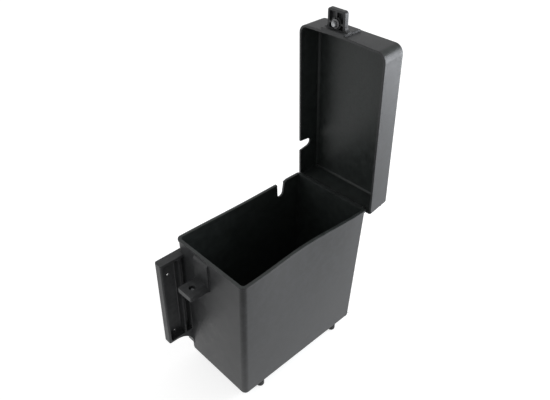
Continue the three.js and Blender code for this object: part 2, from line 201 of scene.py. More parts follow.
def size(name):
    """One of the finishing sizes, in millimetres."""
    return getattr(bpy.context.scene.battery_box_sizes, name) / MM


def shade(name):
    """One of the colours, with its alpha."""
    return (*getattr(bpy.context.scene.battery_box_colours, name), 1)


# ---- modelling ----


def deselect():
    """Leaves edit mode and selects nothing."""
    if bpy.context.object and bpy.context.object.mode != "OBJECT":
        bpy.ops.object.mode_set(mode="OBJECT")
    bpy.ops.object.select_all(action="DESELECT")


def activate(piece):
    deselect()
    piece.select_set(True)
    bpy.context.view_layer.objects.active = piece


def settle(piece):
    """Puts the piece's place and size into its mesh."""
    activate(piece)
    bpy.ops.object.transform_apply(location=True, rotation=True, scale=True)


def block(name, x, y, z):
    """A block between two limits along each axis, in millimetres."""
    deselect()
    middle = [sum(span) / 2 * MM for span in (x, y, z)]
    bpy.ops.mesh.primitive_cube_add(size=1, location=middle)
    piece = bpy.context.object
    piece.name = name
    piece.scale = [(span[1] - span[0]) * MM for span in (x, y, z)]
    settle(piece)
    return piece


def drum(name, radius, middle, length, axis="Z", sides=64):
    """A cylinder about its middle, along X or Z, in millimetres."""
    deselect()
    turn = (0, math.pi / 2, 0) if axis == "X" else (0, 0, 0)
    bpy.ops.mesh.primitive_cylinder_add(
        vertices=sides,
        radius=radius * MM,
        depth=length * MM,
        location=[value * MM for value in middle],
        rotation=turn,
    )
    piece = bpy.context.object
    piece.name = name
    settle(piece)
    return piece


def middle_of(part):
    """The middle of a vertex, edge or face, in millimetres."""
    if isinstance(part, bmesh.types.BMVert):
        return part.co / MM
    if isinstance(part, bmesh.types.BMEdge):
        return (part.verts[0].co + part.verts[1].co) / 2 / MM
    return part.calc_center_median() / MM


def along(edge):
    """The edge's direction."""
    return (edge.verts[1].co - edge.verts[0].co).normalized()


def upright(edge):
    return abs(along(edge).z) > 0.9


def level(edge, z):
    """True for an edge that lies at one height, in millimetres."""
    return all(abs(vertex.co.z / MM - z) < 0.01 for vertex in edge.verts)


def choose(piece, kind, test):
    """Selects the vertices, edges or faces that pass the test, in edit mode."""
    if bpy.context.object != piece or piece.mode != "EDIT":
        activate(piece)
        bpy.ops.object.mode_set(mode="EDIT")
    bpy.ops.mesh.select_mode(type=kind)
    bpy.ops.mesh.select_all(action="DESELECT")
    mesh = bmesh.from_edit_mesh(piece.data)
    mesh.normal_update()
    parts = {"VERT": mesh.verts, "EDGE": mesh.edges, "FACE": mesh.faces}[kind]
    found = [part for part in parts if test(part)]
    if not found:
        raise RuntimeError(f"{piece.name}: nothing to select")
    for part in found:
        part.select_set(True)
    mesh.select_flush_mode()
    bmesh.update_edit_mesh(piece.data)


def round_edges(piece, test, radius, segments):
    choose(piece, "EDGE", test)
    bpy.ops.mesh.bevel(offset=radius * MM, segments=segments, affect="EDGES", clamp_overlap=False)


def resize(piece, test, scale, centre=(0, 0, 0)):
    """Scales the vertices that pass the test about a centre in millimetres."""
    choose(piece, "VERT", test)
    bpy.ops.transform.resize(value=scale, center_override=[value * MM for value in centre])


def slice_at(piece, axis, places):
    """Cuts edges across the whole piece, square to an axis, for a bend to work on."""
    normal = [float(name == axis) for name in "XYZ"]
    for place in places:
        choose(piece, "FACE", lambda face: True)
        bpy.ops.mesh.bisect(plane_co=[place * MM * value for value in normal], plane_no=normal)


def shave(piece, point, normal):
    """Cuts away what lies beyond a plane, drawn in Y and Z, and closes the cut."""
    choose(piece, "FACE", lambda face: True)
    bpy.ops.mesh.bisect(
        plane_co=(0, point[0] * MM, point[1] * MM),
        plane_no=(0, normal[0], normal[1]),
        use_fill=True,
        clear_outer=True,
    )


def reshape(piece, move):
    """Moves every vertex by a rule that takes and gives millimetres."""
    deselect()
    for vertex in piece.data.vertices:
        vertex.co = Vector(move(*(vertex.co / MM))) * MM


def use_modifier(piece, kind, **settings):
    """Adds a modifier and applies it."""
    activate(piece)
    modifier = piece.modifiers.new(kind.title(), kind)
    for name, value in settings.items():
        setattr(modifier, name, value)
    bpy.ops.object.modifier_apply(modifier=modifier.name)


def combine(piece, operation, tools):
    for tool in tools:
        use_modifier(piece, "BOOLEAN", operation=operation, solver="EXACT", object=tool)
        bpy.data.objects.remove(tool)


def fuse(piece, *tools):
    combine(piece, "UNION", tools)


def cut(piece, *tools):
    combine(piece, "DIFFERENCE", tools)


def soften(piece, radius, segments=2, sharper=38):
    """Rounds every sharp edge a little, as a mould does, and smooths the rest."""
    choose(piece, "FACE", lambda face: True)
    bpy.ops.mesh.remove_doubles(threshold=0.004 * MM)
    bpy.ops.mesh.dissolve_limited(angle_limit=math.radians(0.3))
    bpy.ops.mesh.select_mode(type="EDGE")
    bpy.ops.mesh.select_all(action="DESELECT")
    bpy.ops.mesh.edges_select_sharp(sharpness=math.radians(sharper))
    bpy.ops.mesh.bevel(offset=radius * MM, segments=segments, affect="EDGES", clamp_overlap=False)
    smooth(piece)


def smooth(piece, angle=32):
    activate(piece)
    bpy.ops.object.shade_smooth_by_angle(angle=math.radians(angle))
    use_modifier(piece, "WEIGHTED_NORMAL", keep_sharp=True, weight=80)


def swing_open(piece):
    """Turns a piece drawn with the lid closed to where the open lid has it."""
    pivot = Matrix.Translation((0, HINGE[0] * MM, HINGE[1] * MM))
    piece.matrix_world = pivot @ Matrix.Rotation(-OPENING, 4, "X") @ pivot.inverted()
    settle(piece)


def finish_piece(piece, body, node, finish):
    """Moves the piece to the frame, gives it its body and its finish, and hides the solid that it stands
    for.
    """
    piece.location = SHIFT
    settle(piece)
    if finish is not None:
        piece.data.materials.clear()
        piece.data.materials.append(finish)
    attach(piece, body)
    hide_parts(node)


# ---- the tub ----


def bow_walls(x, y, z):
    """The long walls bow in towards the middle of their rims."""
    reach = RIM_HALF[1] - BOX_CORNERS[0]
    if abs(y) < reach and abs(x) > 35:
        swell = math.sin(math.pi * (y + reach) / (2 * reach)) ** 2 * (z / BOX_HEIGHT) ** 2
        x -= size("bow_right") * swell if x > 0 else -size("bow_left") * swell
    return x, y, z


def half_at(z, inset=0.0):
    """Half the tub's width and length at a height, less an inset."""
    share = z / BOX_HEIGHT
    return [low + (high - low) * share - inset for low, high in zip(FLOOR_HALF, RIM_HALF)]


def round_corners(piece, front, back):
    """Rounds the upright corners of a block, at the front and at the hinge."""
    round_edges(piece, lambda e: upright(e) and middle_of(e).y < 0, front, 8)
    round_edges(piece, lambda e: upright(e) and middle_of(e).y > 0, back, 5)


def tapered(name, z, inset, edge):
    """A block that follows the tub's drafted walls, with round corners and a round edge below."""
    top, low = half_at(z[1], inset), half_at(z[0], inset)
    piece = block(name, (-top[0], top[0]), (-top[1], top[1]), z)
    resize(piece, lambda v: v.co.z / MM < z[0] + 1, (low[0] / top[0], low[1] / top[1], 1))
    round_corners(piece, *(corner - inset for corner in BOX_CORNERS))
    round_edges(piece, lambda e: level(e, z[0]), edge, 5)
    return piece


def tub_solid():
    """The tub's outside, with the bead round its rim."""
    start = BOX_HEIGHT - BEAD_HEIGHT
    tub = tapered("tub_moulding", (0, start), 0, FLOOR_EDGE)
    half = half_at(start)
    choose(tub, "FACE", lambda f: f.normal.z > 0.9 and middle_of(f).z > start - 1)
    bpy.ops.mesh.extrude_region_move(TRANSFORM_OT_translate={"value": (0, 0, 0.5 * MM)})
    grow = [(across + size("rim_bead")) / across for across in half]
    bpy.ops.transform.resize(value=(*grow, 1), center_override=(0, 0, 0))
    bpy.ops.mesh.extrude_region_move(
        TRANSFORM_OT_translate={"value": (0, 0, (BEAD_HEIGHT - 0.5) * MM)}
    )
    return tub


def cable_notch(shape, edge, direction, x):
    """The cutter for a round-ended notch that runs into a wall from its edge."""
    front, rear, tip_y, tip = (shape[key] for key in ("front", "rear", "tip_y", "tip"))
    end = edge + direction * shape["depth"]
    low, high = sorted((edge, end))
    piece = block("notch_cutter", x, (tip_y - tip, tip_y + tip), (low, high))
    spread = (rear - front) / (2 * tip)
    centre = (front - spread * (tip_y - tip)) / (1 - spread)
    resize(piece, lambda v: abs(v.co.z / MM - edge) < 0.1, (1, spread, 1), (0, centre, 0))
    round_edges(piece, lambda e: level(e, end) and abs(along(e).x) > 0.9, tip - 0.02, 8)
    choose(piece, "FACE", lambda f: abs(middle_of(f).z - edge) < 0.1)
    bpy.ops.mesh.extrude_region_move(
        TRANSFORM_OT_translate={"value": (0, 0, -direction * 6 * MM)}
    )
    return piece


def notch_chamfer():
    """The cutter that slopes the notch's rear lip."""
    rear = BOX_NOTCH["rear"]
    piece = block("chamfer_cutter", (-60, -45), (rear - 1, rear + 9), (BOX_HEIGHT - 6, BOX_HEIGHT + 6))
    slope = Vector((4.6, 1.84)).normalized()
    shave(piece, (rear, BOX_HEIGHT - 1.84), (slope.y, -slope.x))
    return piece


def flange():
    """The open tray that carries on the left wall past the front."""
    tray = block("flange", FLANGE_X, FLANGE_Y, FLANGE_Z)
    round_edges(tray, lambda e: upright(e) and middle_of(e).y < -120 and middle_of(e).x < -50, 3.2, 6)
    round_edges(tray, lambda e: upright(e) and middle_of(e).y < -122 and middle_of(e).x > -44, 1.6, 4)
    pocket_x = (FLANGE_X[0] + WEB, FLANGE_X[1] + 2)
    pocket_z = (FLANGE_Z[0] + LIP, FLANGE_Z[1] - LIP)
    pocket = block("pocket", pocket_x, (FLANGE_Y[0] + LIP, REAR_LIP[0]), pocket_z)
    round_edges(pocket, lambda e: middle_of(e).x < -50 or abs(along(e).x) > 0.9, 1.2, 4)
    groove = block("groove", pocket_x, (REAR_LIP[1], -93.5), pocket_z)
    round_edges(groove, lambda e: middle_of(e).x < -50 or abs(along(e).x) > 0.9, 0.9, 4)
    gusset_z = (FLANGE_Z[0] - GUSSET, FLANGE_Z[0] + 1)
    gusset = block("gusset", FLANGE_X, (-92.4 - GUSSET, -86), gusset_z)
    sweep = drum("sweep", GUSSET, (-48, -92.4 - GUSSET, gusset_z[0]), 30, "X", 128)
    cut(gusset, sweep)
    cut(tray, pocket, groove)
    fuse(tray, gusset)
    for z in HOLES_Z:
        cut(tray, drum("hole", HOLE, (FLANGE_X[0], HOLE_Y, z), 12, "X", 32))
    return tray


def latch_pad():
    """The raised patch of the front wall that carries the shelf."""
    bottom = SHELF_TOP - SHELF_THICK
    pad = block("pad", (-23.0, SHELF_X[1]), (-97.2, -92.6), (bottom - 4, 173.5))
    shave(pad, (-97.2, 171), (-0.75, 0.66))
    shave(pad, (-97.2, bottom), (-0.66, -0.75))
    sides = lambda e: middle_of(e).y < -96 and abs(along(e).x) < 0.1
    round_edges(pad, sides, 0.5, 3)
    return pad


def ribbed_plate(name, x, y, z, corner, boss, roots=()):
    """A plate hollowed from below, with a frame, crossed ribs and a round boss on the latch's axis."""
    skin = 2.0
    plate = block(name, x, y, z)
    round_edges(plate, lambda e: upright(e) and middle_of(e).y < LATCH[1], corner, 6)
    fuse(plate, *roots)
    bar, rib = 2.6, 1.1
    hollow_z = (z[0] - 1, z[1] - skin)
    spans_x = ((x[0] + bar, LATCH[0] - rib), (LATCH[0] + rib, x[1] - bar))
    spans_y = ((y[0] + bar, LATCH[1] - rib), (LATCH[1] + rib, y[1] - 3))
    for span_x in spans_x:
        for span_y in spans_y:
            hollow = block("hollow", span_x, span_y, hollow_z)
            round_edges(hollow, lambda e: upright(e) or middle_of(e).z > z[0], 0.6, 3)
            cut(plate, hollow)
    fuse(plate, drum("boss", boss, (*LATCH, (z[0] + z[1]) / 2), z[1] - z[0] - 0.02))
    return plate


def latch_shelf():
    shelf_z = (SHELF_TOP - SHELF_THICK, SHELF_TOP)
    shelf = ribbed_plate("shelf", SHELF_X, (-120.3, -94.3), shelf_z, 1.2, 8.0)
    cut(shelf, drum("bore", 3.5, (*LATCH, SHELF_TOP), 30))
    seat = drum("seat", 5.3 / math.cos(math.pi / 6), (*LATCH, shelf_z[0]), 8, "Z", 6)
    cut(shelf, seat)
    return shelf


def open_wall_height(y):
    """The height of the underside of the open lid's hinge wall."""
    turned = []
    for closed in ((LID_Y[1], LID_RIM), (LID_Y[1] - 1.4, LID_RIM + LID_DEPTH)):
        dy, dz = closed[0] - HINGE[0], closed[1] - HINGE[1]
        c, s = math.cos(OPENING), math.sin(OPENING)
        turned.append((HINGE[0] + dy * c + dz * s, HINGE[1] - dy * s + dz * c))
    (y0, z0), (y1, z1) = turned
    return z0 + (z1 - z0) * (y - y0) / (y1 - y0)


def box_knuckle(span):
    """A barrel on an arm from the back wall, with the heel that the open lid rests on."""
    heel = (HINGE[0] + 5.0, HINGE[0] + 9.4)
    arm = block("arm", span, (93.0, heel[1]), (150, 171.9))
    top = open_wall_height(heel[1]) - 0.3
    lift = block("heel", span, heel, (164, top + 1))
    shave(lift, (heel[1], top), (-0.0965, 0.995))
    shave(arm, (94.8, 152), (0.70, -0.714))
    shave(arm, (HINGE[0], 169.5), (-0.0, 1.0))
    fuse(arm, lift)
    neck = block("neck", span, (93.0, HINGE[0] - 1), (160, 173))
    fuse(arm, neck)
    shave(arm, (heel[1] - 2, 163), (0.894, -0.447))
    fuse(arm, drum("barrel", BARREL, (sum(span) / 2, *HINGE), span[1] - span[0], "X"))
    return arm


def make_tub():
    tub = tub_solid()
    core = tapered("core", (FLOOR, BOX_HEIGHT + 6), WALL, 2.0)
    for piece in (tub, core):
        slice_at(piece, "Y", range(-80, 81, 10))
        slice_at(piece, "Z", (30, 60, 90, 115, 140, 160))
        reshape(piece, bow_walls)
    fuse(tub, flange(), latch_pad(), latch_shelf())
    fuse(tub, *(box_knuckle(span) for span in BOX_KNUCKLES))
    cut(tub, core)
    cut(tub, drum("bore", 2.3, (0, *HINGE), 120, "X"))
    cut(tub, cable_notch(BOX_NOTCH, BOX_HEIGHT, -1, (-60, -45)), notch_chamfer())
    for x, y in FOOT_PLACES.values():
        cut(tub, drum("hole", 2.5, (x, y, 1), 10), drum("recess", 3.6, (x, y, BARB_SEAT + 2.5), 5))
    soften(tub, size("edge_round"))
    return tub


# ---- the lid, drawn closed ----


def lid_block(name, rise, inset, corners, edge):
    """A block that follows the lid's drafted walls between two heights above its rim."""

    def spans(height):
        share = max(height, 0) / LID_DEPTH
        half = LID_X - LID_DRAFT * share - inset
        front = LID_Y[0] + LID_END_DRAFT * share + inset
        return half, front, LID_Y[1] - LID_DRAFT * share - inset

    low, high = spans(rise[0]), spans(rise[1])
    z = [LID_RIM + height for height in rise]
    piece = block(name, (-low[0], low[0]), low[1:], z)
    shrink = (high[2] - high[1]) / (low[2] - low[1])
    centre = (high[2] - low[2] * shrink) / (1 - shrink)
    resize(piece, lambda v: v.co.z / MM > z[1] - 1, (high[0] / low[0], shrink, 1), (0, centre, 0))
    round_corners(piece, *corners)
    round_edges(piece, lambda e: level(e, z[1]), edge, 5)
    return piece


def bulge_end(x, y, z):
    """The end wall bulges out at its rim and runs flat into the panel."""
    reach = LID_X - LID_CORNERS[0]
    if y < -80 and abs(x) < reach:
        share = max(z - LID_RIM, 0) / LID_DEPTH
        y -= size("lid_bulge") * (1 - share) * math.sin(math.pi * (x + reach) / (2 * reach)) ** 2
    return x, y, z


def lid_pad():
    """The thickened patch of the end wall that carries the lug."""
    face = LID_Y[0] - 1.5 - 2.5
    pad = block("lid_pad", (LATCH[0] - 16.2, LATCH[0] + 16.2), (face, -98.9), (LID_RIM, LID_RIM + 27))
    shave(pad, (face, LID_RIM), (-0.998, 0.0627))
    shave(pad, (face + 1.62, LID_RIM + 25.8), (-0.707, 0.707))

    def at_sides(edge):
        middle = middle_of(edge)
        return abs(middle.x - LATCH[0]) > 16 and middle.y < -101 and abs(along(edge).x) < 0.1

    round_edges(pad, at_sides, 1.1, 4)
    return pad


def lug():
    """The lug that closes down over the shelf, with a hollow flare at each side of its root."""
    face = LID_Y[0] - 1.5 - 2.5
    flare = 4.1
    z = (LID_RIM + 5.3, LID_RIM + 10.8)
    root = block("root", (LUG_X[0] - flare, LUG_X[1] + flare), (face - flare, face + 0.8), z)
    for x in (LUG_X[0] - flare, LUG_X[1] + flare):
        cut(root, drum("flare", flare, (x, face - flare, sum(z) / 2), 20))
    plate = ribbed_plate("lug", LUG_X, (-123.7, face + 3), z, 2.8, 6.6, [root])
    cut(plate, drum("bore", 4.0, (*LATCH, z[0]), 40))
    return plate


def make_lid():
    lid = lid_block("lid_moulding", (0, LID_DEPTH), 0, LID_CORNERS, 2.4)
    inner = [corner - LID_WALL for corner in LID_CORNERS]
    core = lid_block("core", (-3, LID_DEPTH - LID_WALL), LID_WALL, inner, size("lid_fillet"))
    for piece in (lid, core):
        slice_at(piece, "X", range(-45, 46, 9))
        slice_at(piece, "Z", (LID_RIM + 10, LID_RIM + 20))
        reshape(piece, bulge_end)
    cut(lid, core)
    cut(lid, *(drum("relief", 4.4, (sum(x) / 2, *HINGE), x[1] - x[0], "X") for x in RELIEFS))
    fuse(lid, *(drum("knuckle", BARREL, (sum(x) / 2, *HINGE), x[1] - x[0], "X") for x in LID_KNUCKLES))
    fuse(lid, lid_pad(), lug())
    cut(lid, drum("bore", 2.3, (0, *HINGE), 120, "X"), cable_notch(LID_NOTCH, LID_RIM, 1, (-65, -45)))
    soften(lid, size("edge_round"))
    swing_open(lid)
    return lid


# ---- hardware ----


def duplicate(piece, name):
    """A copy of a piece with a mesh of its own."""
    activate(piece)
    bpy.ops.object.duplicate(linked=False)
    copy = bpy.context.object
    copy.name = name
    return copy


def make_pin():
    """A plain pin with rounded ends."""
    pin = drum("pin_steel", 2.0, (0, *HINGE), 93.2, "X", 48)
    round_edges(pin, lambda e: abs(abs(middle_of(e).x) - 46.6) < 0.01 and abs(along(e).x) < 0.1, 0.5, 3)
    smooth(pin)
    return pin


def make_cap():
    """A push-on cap with a domed end, over the pin's right end."""
    cap = drum("cap_right", BARREL + 0.3, (46.15, *HINGE), 3.7, "X")
    ends = lambda e: abs(along(e).x) < 0.1 and middle_of(e).x > 47
    round_edges(cap, ends, 1.3, 6)
    cut(cap, drum("bore", 2.3, (43.5, *HINGE), 6.8, "X"))
    soften(cap, 0.2)
    return cap


def make_foot():
    """A push-in rubber foot, drawn on the tub's axis: dished head, stem and barb."""
    foot = drum("foot", 5.0, (0, 0, -FOOT_HEIGHT / 2 - 0.15), FOOT_HEIGHT - 0.3, "Z", 48)
    top = lambda f: f.normal.z > 0.9
    choose(foot, "FACE", top)
    bpy.ops.mesh.inset(thickness=2.8 * MM)
    bpy.ops.mesh.extrude_region_move(TRANSFORM_OT_translate={"value": (0, 0, (BARB_SEAT + 0.6) * MM)})
    bpy.ops.mesh.inset(thickness=0)
    bpy.ops.transform.resize(value=(1.36, 1.36, 1), center_override=(0, 0, 0))
    bpy.ops.mesh.extrude_region_move(TRANSFORM_OT_translate={"value": (0, 0, 1.2 * MM)})
    bpy.ops.transform.resize(value=(0.6, 0.6, 1), center_override=(0, 0, 0))
    choose(foot, "FACE", lambda f: f.normal.z < -0.9 and middle_of(f).z < -FOOT_HEIGHT + 0.1)
    bpy.ops.mesh.inset(thickness=2.6 * MM)
    bpy.ops.mesh.extrude_region_move(TRANSFORM_OT_translate={"value": (0, 0, 0.7 * MM)})
    rim = lambda e: level(e, -FOOT_HEIGHT) and math.hypot(*middle_of(e).xy) > 4.5
    round_edges(foot, rim, 1.5, 5)
    soften(foot, 0.25)
    return foot


def make_screw():
    """A socket-head cap screw: knurled head, shank and chamfered, threaded tip."""
    tip, under = LID_RIM + SCREW_TIP, LID_RIM + SCREW_SHOULDER
    head_top = under + SCREW_HEAD_HEIGHT
    screw = drum("screw", SCREW_RADIUS, (*LATCH, (tip + under) / 2), under - tip, "Z", 48)
    round_edges(screw, lambda e: level(e, tip), 0.7, 1)
    for height in range(1, GROOVES + 1):
        groove = drum("groove", 4.0, (*LATCH, tip + height), 0.45, "Z", 48)
        cut(groove, drum("core", SCREW_CORE, (*LATCH, tip + height), 2, "Z", 48))
        cut(screw, groove)
    head = drum("head", SCREW_HEAD, (*LATCH, (under + head_top) / 2), SCREW_HEAD_HEIGHT, "Z", 96)

    def ridged(edge):
        turn = math.degrees(math.atan2(middle_of(edge).y - LATCH[1], middle_of(edge).x - LATCH[0]))
        return upright(edge) and round(turn / 3.75) % 2 == 0

    choose(head, "EDGE", ridged)
    bpy.ops.transform.resize(value=(0.955, 0.955, 1), center_override=(LATCH[0] * MM, LATCH[1] * MM, 0))
    round_edges(head, lambda e: level(e, head_top), 0.7, 2)
    socket = drum("socket", 2.9, (*LATCH, head_top), 5.6, "Z", 6)
    cut(head, socket)
    fuse(screw, head)
    soften(screw, 0.08, 1, 50)
    swing_open(screw)
    return screw


def make_ring(name, radius, low, height, edge):
    """A ring on the closing screw, from its outer radius and its lower face."""
    middle = (*LATCH, low + height / 2)
    ring = drum(name, radius, middle, height)
    cut(ring, drum("bore", 3.3, middle, 3 * height))
    soften(ring, edge, 4)
    swing_open(ring)
    return ring


def make_nut():
    """A hexagon nut with its corners chamfered, in its seat under the shelf."""
    top = SHELF_TOP - SHELF_THICK + 4 - 0.3
    height = 5.2
    middle = (*LATCH, top - height / 2)
    nut = drum("nut", 5 / math.cos(math.pi / 6), middle, height, "Z", 6)
    turned_edge = drum("turned", 5.75, middle, height)
    ends = lambda e: level(e, top) or level(e, top - height)
    round_edges(turned_edge, ends, 0.8, 1)
    combine(nut, "INTERSECT", [turned_edge])
    cut(nut, drum("bore", 2.5, middle, 10))
    soften(nut, 0.15)
    return nut


# ---- finishes ----


def add_node(tree, kind, settings=None, links=None):
    """Adds a node with its settings, and links outputs to its inputs."""
    node = tree.nodes.new(kind)
    for key, value in (settings or {}).items():
        if isinstance(key, int) or key in node.inputs:
            node.inputs[key].default_value = value
        else:
            setattr(node, key, value)
    for key, output in (links or {}).items():
        tree.links.new(output, node.inputs[key])
    return node


def darker(tint, share):
    """A colour with its light scaled, and its alpha kept."""
    return (*(min(1, channel * share) for channel in tint[:3]), 1)


def new_finish(name, **settings):
    """A material with a Principled shader, and the place on the piece that its patterns read."""
    finish = bpy.data.materials.new(name)
    finish.use_nodes = True
    tree = finish.node_tree
    tree.nodes.clear()
    shader = add_node(tree, "ShaderNodeBsdfPrincipled", settings)
    add_node(tree, "ShaderNodeOutputMaterial", links={"Surface": shader.outputs["BSDF"]})
    place = add_node(tree, "ShaderNodeTexCoord").outputs["Object"]
    return finish, tree, shader, place


def speckle(tree, place, width, detail=2.0, rough=0.5):
    """A noise whose blotches are about one width across, in millimetres."""
    settings = {"Scale": 1 / (width * MM), "Detail": detail, "Roughness": rough}
    return add_node(tree, "ShaderNodeTexNoise", settings, {"Vector": place}).outputs["Fac"]


def spread(tree, value, low, high, new_low, new_high):
    """Maps a value's range to another one, and keeps it there."""
    settings = {"From Min": low, "From Max": high, "To Min": new_low, "To Max": new_high}
    return add_node(tree, "ShaderNodeMapRange", settings, {"Value": value}).outputs["Result"]


def sum_of(tree, *values):
    """The sum of values, kept between 0 and 1."""
    total = values[0]
    for value in values[1:]:
        settings = {"operation": "ADD", "use_clamp": True}
        total = add_node(tree, "ShaderNodeMath", settings, {0: total, 1: value}).outputs["Value"]
    return total


def mixed(tree, factor, first, second):
    """A colour between two, by a factor. A colour can be a value or another node's output."""
    node = add_node(tree, "ShaderNodeMix", {"data_type": "RGBA"}, {0: factor})
    for socket, tint in ((node.inputs[6], first), (node.inputs[7], second)):
        if isinstance(tint, bpy.types.NodeSocket):
            tree.links.new(tint, socket)
        else:
            socket.default_value = tint
    return node.outputs[2]


def hairlines(tree, place, width, stretch, turn):
    """Thin scratches: where a stretched noise crosses its middle value."""
    settings = {"Rotation": (0, turn, turn), "Scale": stretch}
    mapped = add_node(tree, "ShaderNodeMapping", settings, {"Vector": place}).outputs["Vector"]
    level_of = speckle(tree, mapped, width, 1.0)
    away = add_node(tree, "ShaderNodeMath", {"operation": "SUBTRACT", 1: 0.5}, {0: level_of})
    away = add_node(tree, "ShaderNodeMath", {"operation": "ABSOLUTE"}, {0: away.outputs["Value"]})
    return spread(tree, away.outputs["Value"], 0.0, 0.006, 1.0, 0.0)


def moulded_polypropylene(name, base, draw, rough, gloss, grain):
    """Black injection-moulded polypropylene: a soft sheen with shrink marks, drag lines and scuffs.

    The eye gets a dark face with long dull reflections that waver a little, and faint grey scuffs.
    """
    finish, tree, shader, place = new_finish(name, IOR=1.49)
    shader.inputs["Specular IOR Level"].default_value = gloss
    # A spark-eroded mould leaves a grain of about 0.1 mm; it is drawn coarser so that it shows at all.
    texture = speckle(tree, place, 1.1, 3.0, 0.6)
    # Walls shrink unevenly as they cool, over a few centimetres.
    wave = speckle(tree, place, 38, 1.0)
    blotch = speckle(tree, place, 9, 4.0, 0.65)
    # The mould drags along the faces as it opens, and leaves lines under a millimetre wide.
    along_draw = add_node(tree, "ShaderNodeMapping", {"Scale": draw}, {"Vector": place})
    drag = speckle(tree, along_draw.outputs["Vector"], 1.6, 3.0, 0.7)
    scuffs = hairlines(tree, place, 30, (1.0, 0.25, 1.3), 0.5)
    patches = spread(tree, speckle(tree, place, 22, 3.0), 0.5, 0.66, 0.0, 1.0)
    worn = add_node(tree, "ShaderNodeMath", {"operation": "MULTIPLY"}, {0: scuffs, 1: patches})
    worn = worn.outputs["Value"]
    dusty = spread(tree, blotch, 0.4, 0.66, 0.0, 0.5)
    lines = spread(tree, drag, 0.45, 0.75, 0.0, 0.35)
    paler = sum_of(tree, dusty, lines, spread(tree, worn, 0, 1, 0, 0.5))
    tree.links.new(mixed(tree, paler, base, darker(base, 2.2)), shader.inputs["Base Color"])
    roughness = spread(tree, blotch, 0.3, 0.7, rough - 0.07, rough + 0.07)
    lines = spread(tree, drag, 0.4, 0.7, 0.0, 0.07)
    roughness = sum_of(tree, roughness, lines, spread(tree, worn, 0, 1, 0, 0.12))
    tree.links.new(roughness, shader.inputs["Roughness"])
    normal = None
    for height, depth in ((wave, 0.35), (drag, 0.01), (texture, grain)):
        links = {"Height": height}
        if normal:
            links["Normal"] = normal
        normal = add_node(tree, "ShaderNodeBump", {"Distance": depth * MM}, links).outputs["Normal"]
    tree.links.new(normal, shader.inputs["Normal"])
    return finish


def zinc_plated_steel(name, base):
    """Bright zinc on turned steel: a pale metal with cloudy dulling and fine tool marks round it."""
    finish, tree, shader, place = new_finish(name, Metallic=1.0)
    cloud = speckle(tree, place, 2.5, 4.0)
    dull = mixed(tree, spread(tree, cloud, 0.4, 0.7, 0, 1), base, darker(base, 0.55))
    tree.links.new(dull, shader.inputs["Base Color"])
    tree.links.new(spread(tree, cloud, 0.3, 0.7, 0.24, 0.42), shader.inputs["Roughness"])
    marks = speckle(tree, place, 0.4, 2.0)
    bump = add_node(tree, "ShaderNodeBump", {"Distance": 0.02 * MM}, {"Height": marks})
    tree.links.new(bump.outputs["Normal"], shader.inputs["Normal"])
    return finish


def vulcanised_rubber(name, base):
    """Vulcanised rubber: matt and a little grey, with the bloom that rubber gets in air."""
    finish, tree, shader, place = new_finish(name, IOR=1.52)
    bloom = speckle(tree, place, 3, 4.0)
    greyed = mixed(tree, spread(tree, bloom, 0.4, 0.7, 0, 0.8), base, darker(base, 2.5))
    tree.links.new(greyed, shader.inputs["Base Color"])
    tree.links.new(spread(tree, bloom, 0.3, 0.7, 0.62, 0.8), shader.inputs["Roughness"])
    pits = speckle(tree, place, 0.5, 2.0)
    bump = add_node(tree, "ShaderNodeBump", {"Distance": 0.03 * MM}, {"Height": pits})
    tree.links.new(bump.outputs["Normal"], shader.inputs["Normal"])
    return finish


def finish_once(name, make, *settings):
    """A finish that several pieces share, made when the first one asks for it."""
    return bpy.data.materials.get(name) or make(name, *settings)


def plastics(part, draw):
    """The finish of a moulding's outside, and a copy for its inside with a coarser grain and a darker
    colour, which is painted shade.
    """
    skin, core = shade("plastic"), shade("core")
    outer = moulded_polypropylene(f"Moulded polypropylene, {part} outside", skin, draw, 0.44, 0.36, 0.012)
    # The inside copy's darker colour is painted shade; its coarser grain is a real bump.
    inner = moulded_polypropylene(f"Moulded polypropylene, {part} inside", core, draw, 0.42, 0.42, 0.03)
    return outer, inner


def line_inside(piece, finish, test):
    """Gives the faces that pass the test another finish."""
    piece.data.materials.append(finish)
    choose(piece, "FACE", test)
    piece.active_material_index = 1
    bpy.ops.object.material_slot_assign()
    bpy.ops.object.mode_set(mode="OBJECT")


# ---- operators ----


class BATTERYBOX_OT_tub(bpy.types.Operator):
    """Moulds the tub with its flange, its latch shelf and its half of the hinge"""

    bl_idname = "battery_box.tub"
    bl_label = "Make the tub"

    def execute(self, context):
        tub = make_tub()
        outer, inner = plastics("tub", (1, 0.05, 1))
        finish_piece(tub, "box", "box_body", outer)

        def inside(face):
            x, y, z = middle_of(face) - SHIFT / MM
            half = half_at(z, WALL / 2)
            way_in = -face.normal.x * math.copysign(1, x), -face.normal.y * math.copysign(1, y)
            faces_in = max(way_in) > 0.3 or (abs(x) < 45 and abs(y) < 88)
            return z > FLOOR - 0.5 and abs(x) < half[0] and abs(y) < half[1] and faces_in

        line_inside(tub, inner, inside)
        return {"FINISHED"}


class BATTERYBOX_OT_lid(bpy.types.Operator):
    """Moulds the lid with its lug and its half of the hinge, and stands it open"""

    bl_idname = "battery_box.lid"
    bl_label = "Make the lid"

    def execute(self, context):
        lid = make_lid()
        outer, inner = plastics("lid", (1, 1, 0.05))
        finish_piece(lid, "lid", "lid", outer)
        pivot = Vector((0, HINGE[0], HINGE[1])) + SHIFT / MM

        def inside(face):
            spot = Matrix.Rotation(OPENING, 3, "X") @ (middle_of(face) - pivot)
            within = abs(spot.x) < LID_X - 2 and LID_Y[0] + 0.5 < spot.y + HINGE[0] < LID_Y[1] - 2
            return within and 1 < spot.z < LID_DEPTH - LID_WALL + 1

        line_inside(lid, inner, inside)
        return {"FINISHED"}


